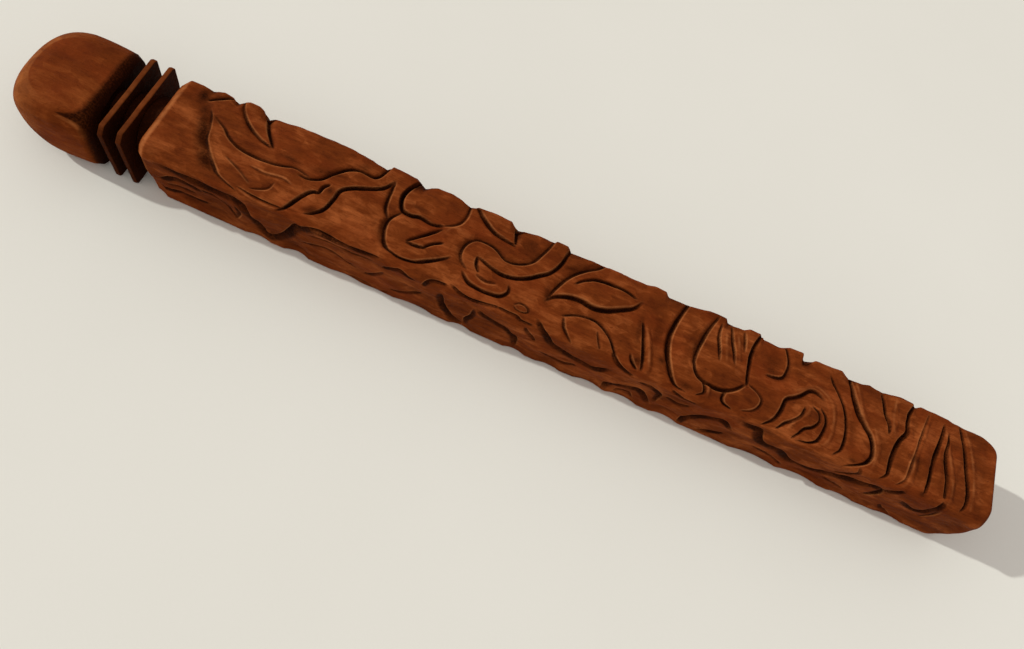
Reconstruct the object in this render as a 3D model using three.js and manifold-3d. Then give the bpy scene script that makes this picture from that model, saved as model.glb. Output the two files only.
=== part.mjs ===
// A carved hardwood stick: a long square shaft with carved faces, two thin square collars and a domed
// head, both threaded over the shaft's stepped tenon.
// Millimetres. +X runs from the head to the tail, +Y to the back and +Z up. The origin is under the middle
// of the whole stick, on the surface that it lies on.

import * as THREE from 'three';
import { mergeVertices } from 'three/addons/utils/BufferGeometryUtils.js';
import Module from 'manifold-3d';

const wasm = await Module();
wasm.setup();

// Driving dimensions
const STICK_WIDTH = 36.5;
const STICK_HEIGHT = 29;
const SHAFT_LENGTH = 336.4;
const FRONT_EDGE_RADIUS = 4.5;
const BACK_EDGE_RADIUS = 1.5;
const BOTTOM_EDGE_RADIUS = 2.4;
const SHOULDER_CHAMFER = 1.9;
const SHOULDER_CHAMFER_LENGTH = 2.4;
const TAIL_BACK_CORNER_RADIUS = 9;
const TAIL_FRONT_CORNER_RADIUS = 4;
const TAIL_EDGE_RADIUS = 2;

const HEAD_LENGTH = 34.7;
const HEAD_WIDTH = 41.5;
const HEAD_TIP_SHARE = 0.08;
const HEAD_WAIST_INSET = 1.8;
const HEAD_WAIST_LENGTH = 13;
const HEAD_END_BEVEL = 2.6;

// Each rounding of the head's tip is a length along the stick and how square it is, 2 being an ellipse.
const HEAD_SIDE_DOME = { length: 25, power: 3.1 };
const HEAD_TOP_DOME = { length: 14.2, power: 2.45 };
const HEAD_UNDER_DOME = { length: 21.4, power: 1.75 };

const COLLAR_THICKNESS = 1.9;
const COLLAR_CORNER_CHAMFER = 1.2;
const SLOT_WIDTH = 4.9;

const TENON_ROOT_DIAMETER = 24;
const TENON_SEAT_WIDTH = 1.5;
const HEAD_BORE_DEPTH = 18;
const FIT_CLEARANCE = 0.3;

// The carved pattern is drawn on a sheet of this size and stretched to the faces of the shaft.
const PATTERN_LENGTH = 336;
const PATTERN_WIDTH = 36;
const PATTERN_HEIGHT = 29;

const GROOVE_WIDTH = 2.4;
const GROOVE_DEPTH = 1.6;
const DEEP_GROOVE_WIDTH = 3;
const DEEP_GROOVE_DEPTH = 2.2;
const NOTCH_WIDTH = 9;
const NOTCH_DEPTH = 2.6;

const TENON_SIDES = 40;
const CUTTER_OVERLAP = 0.5;
const CUTTER_STEP = 4.5;

// Places along the stick, from the head's tip
const headEnd = HEAD_LENGTH;
const frontCollarStart = headEnd + SLOT_WIDTH;
const frontCollarEnd = frontCollarStart + COLLAR_THICKNESS;
const rearCollarStart = frontCollarEnd + SLOT_WIDTH;
const rearCollarEnd = rearCollarStart + COLLAR_THICKNESS;
const shaftStart = rearCollarEnd + SLOT_WIDTH;
const stickLength = shaftStart + SHAFT_LENGTH;

// Each seat of the tenon is one step narrower than the one behind it.
const rearSeatDiameter = TENON_ROOT_DIAMETER - 2 * TENON_SEAT_WIDTH;
const frontSeatDiameter = rearSeatDiameter - 2 * TENON_SEAT_WIDTH;
const headPinDiameter = frontSeatDiameter - 2 * TENON_SEAT_WIDTH;

const halfWidth = STICK_WIDTH / 2;
const halfHeight = STICK_HEIGHT / 2;

// Carved lines as points of [distance from the shoulder, distance across], smooth from point to point.
// Across is measured from the centre line to the back on the top face, from the bottom edge up on the
// front face and from the top edge down on the back face.
const TOP_GROOVES = [
  [[16, 7], [19, -3], [24, -9], [31, -15], [38, -18]],
  [[18, 6], [25, 2], [31, -1], [38, -2], [46, -1], [52, 1], [58, 0]],
  [[33, 14], [37, 9], [41, 5]],
  [[26, 14], [31, 9], [38, 5]],
  [[58, -1], [62, 1], [65, 5], [69, 9], [73, 11], [78, 11], [81, 15], [83, 19]],
  [[92, 2], [90, -3], [91, -9], [97, -15], [104, -14], [109, -11], [113, -8]],
  [[99, -8], [103, -3], [108, 2]],
  [[118, 17], [122, 13], [128, 10], [134, 10]],
  [[148, 15], [145, 8], [140, 3], [128, 5], [121, 4], [118, -1], [120, -7]],
  [[125, -12], [131, -13], [137, -12], [139, -8]],
  [[168, 15], [163, 12], [159, 7], [156, 1], [154, -5]],
  [[162, 5], [166, 9], [172, 10], [180, 10]],
  [[162, -9], [168, -6], [174, -6], [180, -10], [185, -18]],
  [[190, 0], [193, -7], [196, -17]],
  [[219, 13], [219, 7], [221, -1]],
  [[223, 14], [225, 8], [227, 2]],
  [[246, -14], [249, -7], [251, -2], [256, 2], [262, 4]],
  [[250, -14], [254, -9], [257, -3]],
  [[258, -16], [258, -11], [263, -7], [263, -3]],
  [[259, -17], [265, -13], [266, -5], [264, -2]],
  [[273, 17], [276, 8], [282, 0], [286, -6], [285, -14], [280, -18]],
  [[286, 13], [288, 5]],
  [[312, 12], [309, 2], [308, -14]],
];

const TOP_DEEP_GROOVES = [
  [[55, -17], [57, -12], [60, -6], [63, -4]],
  [[66, -13], [68, -9], [69, -2], [73, 3], [78, 6], [83, 9], [86, 14]],
  [[91, 19], [90, 12], [92, 4], [98, 4], [104, 3], [108, 5]],
  [[155, 16], [153, 9], [148, 2], [142, -2], [135, -4], [128, -3], [125, -2]],
  [[154, -5], [159, -2], [166, 0], [172, -1], [178, 1], [183, 4], [187, 8]],
  [[203, 14], [201, 6], [201, -1], [203, -9], [208, -18]],
  [[214, 10], [212, 2], [213, -6], [217, -10], [225, -10], [232, -6], [232, 4], [234, 16]],
  [[265, 13], [271, 6], [274, -2], [274, -10], [272, -15]],
  [[300, 15], [298, 10], [296, 0], [294, -15]],
  [[322, 14], [325, -1], [325, -15]],
];

const FRONT_GROOVES = [
  [[7, 16], [15, 17], [23, 17]],
  [[9, 9], [16, 8], [22, 8]],
  [[119, 21], [120, 13], [126, 5]],
  [[130, 20], [131, 13], [128, 6]],
  [[134, 21], [141, 18], [148, 13], [150, 5]],
  [[153, 31], [158, 25], [166, 20], [177, 17], [184, 21]],
  [[187, 3], [189, 11], [196, 17], [203, 12], [206, 7]],
  [[220, 5], [223, 14], [232, 20], [236, 18]],
  [[308, 7], [314, 1]],
];

const FRONT_DEEP_GROOVES = [
  [[16, 27], [27, 25], [37, 25], [44, 18], [50, 8], [55, 13], [60, 23], [69, 28], [85, 28]],
  [[240, 27], [247, 20], [257, 18], [267, 14], [278, 19], [292, 21], [299, 20], [298, 13]],
];

const BACK_GROOVES = [
  [[18, 10], [30, 7], [44, 10], [58, 18], [70, 22]],
  [[20, 22], [32, 21], [42, 17], [52, 10]],
  [[128, 6], [136, 14], [148, 18], [160, 14], [168, 6]],
  [[178, 22], [190, 16], [204, 16], [214, 23]],
  [[256, 6], [262, 14], [272, 19], [284, 18], [294, 9]],
  [[306, 5], [304, 14], [308, 25]],
];

const BACK_DEEP_GROOVES = [
  [[78, 4], [84, 13], [96, 18], [110, 16], [118, 8]],
  [[222, 4], [220, 13], [226, 21], [238, 22], [244, 13], [240, 5]],
];

// Scoops out of the long edges, as [distance from the shoulder, length].
const BACK_EDGE_NOTCHES = [[17, 10], [84, 14], [132, 14], [162, 12], [200, 10], [257, 8], [275, 8]];
const FRONT_EDGE_NOTCHES = [[64, 12], [190, 10], [232, 12]];
const FOOT_EDGE_NOTCHES = [[60, 10], [108, 12], [152, 8], [198, 14], [216, 10], [264, 20]];

// The carved surfaces of the shaft. A point on one is its start, plus a distance along the stick, plus a
// distance along its across direction, and out is the way that it faces.
const slant = Math.SQRT1_2;
const FACES = {
  top: {
    start: new THREE.Vector3(shaftStart, 0, STICK_HEIGHT),
    across: new THREE.Vector3(0, STICK_WIDTH / PATTERN_WIDTH, 0),
    out: new THREE.Vector3(0, 0, 1),
  },
  front: {
    start: new THREE.Vector3(shaftStart, -halfWidth, 0),
    across: new THREE.Vector3(0, 0, STICK_HEIGHT / PATTERN_HEIGHT),
    out: new THREE.Vector3(0, -1, 0),
  },
  back: {
    start: new THREE.Vector3(shaftStart, halfWidth, STICK_HEIGHT),
    across: new THREE.Vector3(0, 0, -STICK_HEIGHT / PATTERN_HEIGHT),
    out: new THREE.Vector3(0, 1, 0),
  },
  backEdge: {
    start: new THREE.Vector3(shaftStart, halfWidth, STICK_HEIGHT),
    across: new THREE.Vector3(0, slant, -slant),
    out: new THREE.Vector3(0, slant, slant),
  },
  frontEdge: {
    start: new THREE.Vector3(shaftStart, -halfWidth, STICK_HEIGHT),
    across: new THREE.Vector3(0, slant, slant),
    out: new THREE.Vector3(0, -slant, slant),
  },
  footEdge: {
    start: new THREE.Vector3(shaftStart, -halfWidth, 0),
    across: new THREE.Vector3(0, -slant, slant),
    out: new THREE.Vector3(0, -slant, -slant),
  },
};

function pointOnFace(face, along, across, lift) {
  const point = face.start.clone();
  point.x += along * (SHAFT_LENGTH / PATTERN_LENGTH);
  point.addScaledVector(face.across, across);
  point.addScaledVector(face.out, lift);
  return point;
}

// A closed solid through a row of sections, which all have the same number of points.
function loft(sections) {
  const sides = sections[0].length;
  const positions = [];
  for (const section of sections) {
    for (const point of section) {
      positions.push(point.x, point.y, point.z);
    }
  }
  const triangles = [];
  for (let row = 0; row + 1 < sections.length; row++) {
    for (let side = 0; side < sides; side++) {
      const a = row * sides + side;
      const b = row * sides + ((side + 1) % sides);
      triangles.push(a, b, b + sides);
      triangles.push(a, b + sides, a + sides);
    }
  }
  const lastRow = (sections.length - 1) * sides;
  for (let side = 1; side + 1 < sides; side++) {
    triangles.push(0, side + 1, side);
    triangles.push(lastRow, lastRow + side, lastRow + side + 1);
  }
  const geometry = new THREE.BufferGeometry();
  geometry.setAttribute('position', new THREE.Float32BufferAttribute(positions, 3));
  geometry.setIndex(triangles);
  return geometry;
}

// A geometry as a solid for the boolean cuts. Triangles that close up to a line are left out.
function solidFrom(geometry) {
  const bare = geometry.clone();
  bare.deleteAttribute('normal');
  bare.deleteAttribute('uv');
  const welded = mergeVertices(bare, 1e-4);
  const corners = welded.index.array;
  const kept = [];
  for (let i = 0; i < corners.length; i += 3) {
    const [a, b, c] = [corners[i], corners[i + 1], corners[i + 2]];
    if (a !== b && b !== c && c !== a) {
      kept.push(a, b, c);
    }
  }
  return new wasm.Manifold(new wasm.Mesh({
    numProp: 3,
    vertProperties: new Float32Array(welded.attributes.position.array),
    triVerts: new Uint32Array(kept),
  }));
}

function geometryFrom(solid) {
  const mesh = solid.getMesh();
  const geometry = new THREE.BufferGeometry();
  geometry.setAttribute('position', new THREE.BufferAttribute(new Float32Array(mesh.vertProperties), 3));
  geometry.setIndex(new THREE.BufferAttribute(new Uint32Array(mesh.triVerts), 1));
  geometry.computeVertexNormals();
  return geometry;
}

// A cylinder on the stick's axis.
function axialCylinder(diameter, start, end) {
  const geometry = new THREE.CylinderGeometry(diameter / 2, diameter / 2, end - start, TENON_SIDES);
  geometry.rotateZ(Math.PI / 2);
  geometry.translate((start + end) / 2, 0, halfHeight);
  return geometry;
}

// The stick's rectangular section at one place, drawn in at its front, its back and its top and bottom, and
// with round corners.
function boxSection(x, frontInset, backInset, topInset) {
  const cornerSteps = 4;
  const corners = [
    [1, 1, 0, BACK_EDGE_RADIUS, backInset],
    [-1, 1, 1, FRONT_EDGE_RADIUS, frontInset],
    [-1, -1, 2, BOTTOM_EDGE_RADIUS, frontInset],
    [1, -1, 3, BOTTOM_EDGE_RADIUS, backInset],
  ];
  const points = [];
  for (const [signY, signZ, turn, radius, sideInset] of corners) {
    const y = halfWidth - sideInset - radius;
    const z = halfHeight - topInset - radius;
    for (let step = 0; step <= cornerSteps; step++) {
      const angle = (turn + step / cornerSteps) * (Math.PI / 2);
      points.push(new THREE.Vector3(
        x,
        signY * y + radius * Math.cos(angle),
        halfHeight + signZ * z + radius * Math.sin(angle),
      ));
    }
  }
  return points;
}

// How far a quarter-round edge stands in, at a distance from the end that it leads to.
function quarterRoundInset(toEnd, radius) {
  const share = Math.max(0, 1 - toEnd / radius);
  return radius * (1 - Math.sqrt(1 - share * share));
}

function shaftBlock() {
  const sections = [
    boxSection(shaftStart, SHOULDER_CHAMFER, SHOULDER_CHAMFER, SHOULDER_CHAMFER),
    boxSection(shaftStart + SHOULDER_CHAMFER_LENGTH, 0, 0, 0),
  ];
  const tailSteps = 8;
  for (let step = 0; step <= tailSteps; step++) {
    const angle = (step / tailSteps) * (Math.PI / 2);
    const toEnd = TAIL_BACK_CORNER_RADIUS * (1 - Math.sin(angle));
    const frontInset = quarterRoundInset(toEnd, TAIL_FRONT_CORNER_RADIUS);
    const backInset = quarterRoundInset(toEnd, TAIL_BACK_CORNER_RADIUS);
    const topInset = quarterRoundInset(toEnd, TAIL_EDGE_RADIUS);
    sections.push(boxSection(stickLength - toEnd, frontInset, backInset, topInset));
  }
  return loft(sections);
}

// The stepped round tenon, turned about the stick's axis, from its pin to a root inside the shaft.
function tenon() {
  const pinEnd = headEnd - HEAD_BORE_DEPTH + FIT_CLEARANCE;
  const steps = [
    [headPinDiameter, pinEnd, headEnd + FIT_CLEARANCE],
    [frontSeatDiameter, headEnd + FIT_CLEARANCE, frontCollarEnd + FIT_CLEARANCE],
    [rearSeatDiameter, frontCollarEnd + FIT_CLEARANCE, rearCollarEnd + FIT_CLEARANCE],
    [TENON_ROOT_DIAMETER, rearCollarEnd + FIT_CLEARANCE, shaftStart + CUTTER_OVERLAP],
  ];
  const profile = [new THREE.Vector2(0, pinEnd)];
  for (const [diameter, start, end] of steps) {
    profile.push(new THREE.Vector2(diameter / 2, start));
    profile.push(new THREE.Vector2(diameter / 2, end));
  }
  profile.push(new THREE.Vector2(0, shaftStart + CUTTER_OVERLAP));
  const geometry = new THREE.LatheGeometry(profile, TENON_SIDES);
  geometry.rotateZ(-Math.PI / 2);
  geometry.translate(0, 0, halfHeight);
  return geometry;
}

// A V-shaped cutter that follows a carved line and runs out to a point at both ends.
function grooveCutter(face, line, width, depth) {
  const places = line.map(([along, across]) => new THREE.Vector3(along, across, 0));
  const curve = new THREE.CatmullRomCurve3(places);
  const steps = Math.max(3, Math.round(curve.getLength() / CUTTER_STEP));
  const sections = [];
  for (let step = 0; step <= steps; step++) {
    const share = step / steps;
    const point = curve.getPointAt(share);
    const tangent = curve.getTangentAt(share);
    const fullness = 0.3 + 0.7 * Math.sqrt(Math.sin(Math.PI * share));
    const deep = depth * fullness;
    const half = (width / 2) * fullness * ((deep + CUTTER_OVERLAP) / deep);
    const sideAlong = -tangent.y * half;
    const sideAcross = tangent.x * half;
    sections.push([
      pointOnFace(face, point.x, point.y, -deep),
      pointOnFace(face, point.x + sideAlong, point.y + sideAcross, CUTTER_OVERLAP),
      pointOnFace(face, point.x - sideAlong, point.y - sideAcross, CUTTER_OVERLAP),
    ]);
  }
  return loft(sections);
}

function shaft() {
  let solid = solidFrom(shaftBlock()).add(solidFrom(tenon()));
  const grooves = [
    [FACES.top, TOP_GROOVES, GROOVE_WIDTH, GROOVE_DEPTH],
    [FACES.top, TOP_DEEP_GROOVES, DEEP_GROOVE_WIDTH, DEEP_GROOVE_DEPTH],
    [FACES.front, FRONT_GROOVES, GROOVE_WIDTH, GROOVE_DEPTH],
    [FACES.front, FRONT_DEEP_GROOVES, DEEP_GROOVE_WIDTH, DEEP_GROOVE_DEPTH],
    [FACES.back, BACK_GROOVES, GROOVE_WIDTH, GROOVE_DEPTH],
    [FACES.back, BACK_DEEP_GROOVES, DEEP_GROOVE_WIDTH, DEEP_GROOVE_DEPTH],
  ];
  for (const [face, lines, width, depth] of grooves) {
    for (const line of lines) {
      solid = solid.subtract(solidFrom(grooveCutter(face, line, width, depth)));
    }
  }
  const notches = [
    [FACES.backEdge, BACK_EDGE_NOTCHES],
    [FACES.frontEdge, FRONT_EDGE_NOTCHES],
    [FACES.footEdge, FOOT_EDGE_NOTCHES],
  ];
  for (const [face, places] of notches) {
    for (const [along, length] of places) {
      const line = [[along - length / 2, 0], [along, 0], [along + length / 2, 0]];
      solid = solid.subtract(solidFrom(grooveCutter(face, line, NOTCH_WIDTH, NOTCH_DEPTH)));
    }
  }
  return geometryFrom(solid);
}

// The stick's section with its four corners cut off, from start to end, with a bore for the tenon.
function collar(start, seatDiameter) {
  const cut = COLLAR_CORNER_CHAMFER;
  const outline = new THREE.Shape();
  outline.moveTo(halfWidth - cut, -halfHeight);
  outline.lineTo(halfWidth, -halfHeight + cut);
  outline.lineTo(halfWidth, halfHeight - cut);
  outline.lineTo(halfWidth - cut, halfHeight);
  outline.lineTo(-halfWidth + cut, halfHeight);
  outline.lineTo(-halfWidth, halfHeight - cut);
  outline.lineTo(-halfWidth, -halfHeight + cut);
  outline.lineTo(-halfWidth + cut, -halfHeight);
  const plate = new THREE.ExtrudeGeometry(outline, { depth: COLLAR_THICKNESS, bevelEnabled: false });
  plate.rotateX(Math.PI / 2);
  plate.rotateZ(Math.PI / 2);
  plate.translate(start, 0, halfHeight);
  const bore = axialCylinder(
    seatDiameter + 2 * FIT_CLEARANCE,
    start - CUTTER_OVERLAP,
    start + COLLAR_THICKNESS + CUTTER_OVERLAP,
  );
  return geometryFrom(solidFrom(plate).subtract(solidFrom(bore)));
}

// The share of its full size that a rounded end has at a distance from the tip.
function domeShare(fromTip, dome) {
  const toFull = Math.max(0, 1 - fromTip / dome.length);
  return Math.max(HEAD_TIP_SHARE, (1 - toFull ** dome.power) ** (1 / dome.power));
}

// One section of the head, with its sides, top and underside at their own distances from the axis: round
// at the tip and nearly square further back.
function headSection(x, side, above, below, squareness) {
  const sides = 36;
  const points = [];
  for (let corner = 0; corner < sides; corner++) {
    const angle = ((corner + 0.5) / sides) * 2 * Math.PI;
    const cos = Math.cos(angle);
    const sin = Math.sin(angle);
    const rise = sin > 0 ? above : below;
    points.push(new THREE.Vector3(
      x,
      side * Math.sign(cos) * Math.abs(cos) ** (2 / squareness),
      halfHeight + rise * Math.sign(sin) * Math.abs(sin) ** (2 / squareness),
    ));
  }
  return points;
}

function head() {
  const sections = [];
  const steps = 16;
  for (let step = 0; step <= steps + 1; step++) {
    const beforeBevel = (HEAD_LENGTH - HEAD_END_BEVEL) * Math.min(1, step / steps) ** 1.4;
    const x = step > steps ? HEAD_LENGTH : beforeBevel;
    const toEnd = HEAD_LENGTH - x;
    const waist = Math.max(0, 1 - toEnd / HEAD_WAIST_LENGTH);
    const inset = HEAD_WAIST_INSET * waist ** 2 + Math.max(0, HEAD_END_BEVEL - toEnd);
    const squareness = 2.1 + 2.7 * Math.min(1, x / HEAD_TOP_DOME.length);
    sections.push(headSection(
      x,
      (HEAD_WIDTH / 2) * domeShare(x, HEAD_SIDE_DOME) - inset,
      halfHeight * domeShare(x, HEAD_TOP_DOME) - inset,
      halfHeight * domeShare(x, HEAD_UNDER_DOME) - inset,
      squareness,
    ));
  }
  const bore = axialCylinder(
    headPinDiameter + 2 * FIT_CLEARANCE,
    headEnd - HEAD_BORE_DEPTH,
    headEnd + CUTTER_OVERLAP,
  );
  return geometryFrom(solidFrom(loft(sections)).subtract(solidFrom(bore)));
}

// Oiled reddish hardwood. The collars, cut across the grain, are the darkest.
const shaftWood = new THREE.MeshStandardMaterial({ color: 0x7d401c, roughness: 0.55, metalness: 0 });
const collarWood = new THREE.MeshStandardMaterial({ color: 0x5e2c12, roughness: 0.6, metalness: 0 });
const headWood = new THREE.MeshStandardMaterial({ color: 0x86471f, roughness: 0.5, metalness: 0 });

const stick = new THREE.Group();
stick.name = 'carved_stick';
stick.position.x = -stickLength / 2;

function addPiece(name, geometry, material) {
  const piece = new THREE.Mesh(geometry, material);
  piece.name = name;
  stick.add(piece);
}

addPiece('shaft', shaft(), shaftWood);
addPiece('collar_rear', collar(rearCollarStart, rearSeatDiameter), collarWood);
addPiece('collar_front', collar(frontCollarStart, frontSeatDiameter), collarWood);
addPiece('head', head(), headWood);

export default stick;
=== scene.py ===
"""A carved hardwood stick on a pale surface: relief-carved shaft, two thin square collars and a domed head.

The carving is one depth map over the shaft's unrolled sides. A point on the sheet is (along, around), both
in millimetres: along runs from the middle of the front collar to the tail, and around runs from 0 on the
top front edge, up over the top face, down the back, under the stick and up the front face to 0 again.
"""

import math

import bpy
import numpy as np
from mathutils import Matrix, Vector


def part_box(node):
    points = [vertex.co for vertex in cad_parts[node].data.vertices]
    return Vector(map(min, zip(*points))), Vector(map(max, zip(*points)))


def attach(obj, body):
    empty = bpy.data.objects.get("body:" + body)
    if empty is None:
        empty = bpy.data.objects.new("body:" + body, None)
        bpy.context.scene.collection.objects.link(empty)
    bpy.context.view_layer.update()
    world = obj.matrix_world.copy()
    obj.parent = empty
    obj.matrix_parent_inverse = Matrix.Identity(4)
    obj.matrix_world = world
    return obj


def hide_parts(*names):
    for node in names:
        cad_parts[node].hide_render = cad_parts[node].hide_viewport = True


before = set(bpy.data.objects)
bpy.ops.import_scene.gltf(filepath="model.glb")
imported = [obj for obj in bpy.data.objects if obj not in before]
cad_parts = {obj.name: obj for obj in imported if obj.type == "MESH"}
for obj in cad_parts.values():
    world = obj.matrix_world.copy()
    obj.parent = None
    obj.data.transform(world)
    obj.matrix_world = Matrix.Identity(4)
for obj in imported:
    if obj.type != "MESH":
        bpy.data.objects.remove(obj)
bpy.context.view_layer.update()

MM = 0.001
rng = np.random.default_rng(11)

shaft_low, shaft_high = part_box("shaft")
rear_low, rear_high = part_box("collar_rear")
front_low, front_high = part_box("collar_front")
head_low, head_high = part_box("head")

WIDTH = (rear_high.y - rear_low.y) / MM
HEIGHT = (rear_high.z - rear_low.z) / MM
SLOT = (rear_low.x - front_high.x) / MM
SHEET_ZERO = (front_low.x + front_high.x) / 2 / MM
SHOULDER = rear_high.x / MM + SLOT - SHEET_ZERO
TAIL = shaft_high.x / MM - SHEET_ZERO
GIRTH = 2 * (WIDTH + HEIGHT)
HALF_WIDTH = WIDTH / 2

# ---- carved lines


def top(along, across):
    """A sheet point on the top face, across measured from its centre line towards the back."""
    return along, HALF_WIDTH + across


def front(along, height):
    """A sheet point on the front face, height measured from its bottom edge."""
    return along, height - HEIGHT


def back(along, height):
    """A sheet point on the back face, height measured from its bottom edge."""
    return along, WIDTH + HEIGHT - height


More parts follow.
